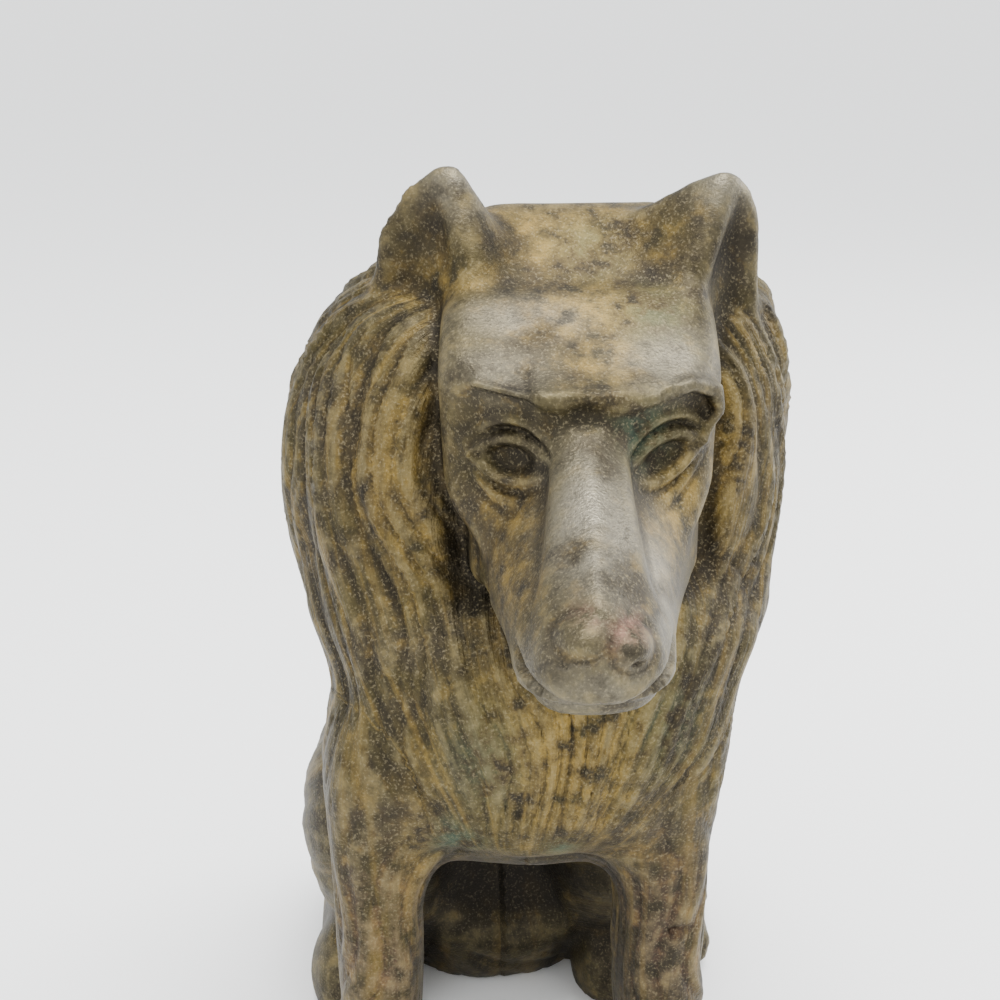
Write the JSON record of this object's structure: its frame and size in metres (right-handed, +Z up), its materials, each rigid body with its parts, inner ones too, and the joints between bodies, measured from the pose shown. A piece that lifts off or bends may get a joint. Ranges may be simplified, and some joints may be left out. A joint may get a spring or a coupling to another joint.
{
  "type": "collie figurine",
  "caption": "Small cast brass statuette of a sitting long-haired collie with pricked ears, a thick mane and its forelegs set apart.",
  "frame": {"origin": "middle of the bounding box at floor level, on the underside of the feet and rump", "axes": "+Z up, the dog faces -Y, +X is the dog's left side"},
  "size_m": [0.0548, 0.0954, 0.1037],
  "materials": {
    "aged_brass": "sand-cast brass with a brown patina, golden wear in the recesses, grey polish on the muzzle and traces of verdigris"
  },
  "bodies": {
    "root": {"collie_casting": "aged_brass"}
  },
  "joints": []
}
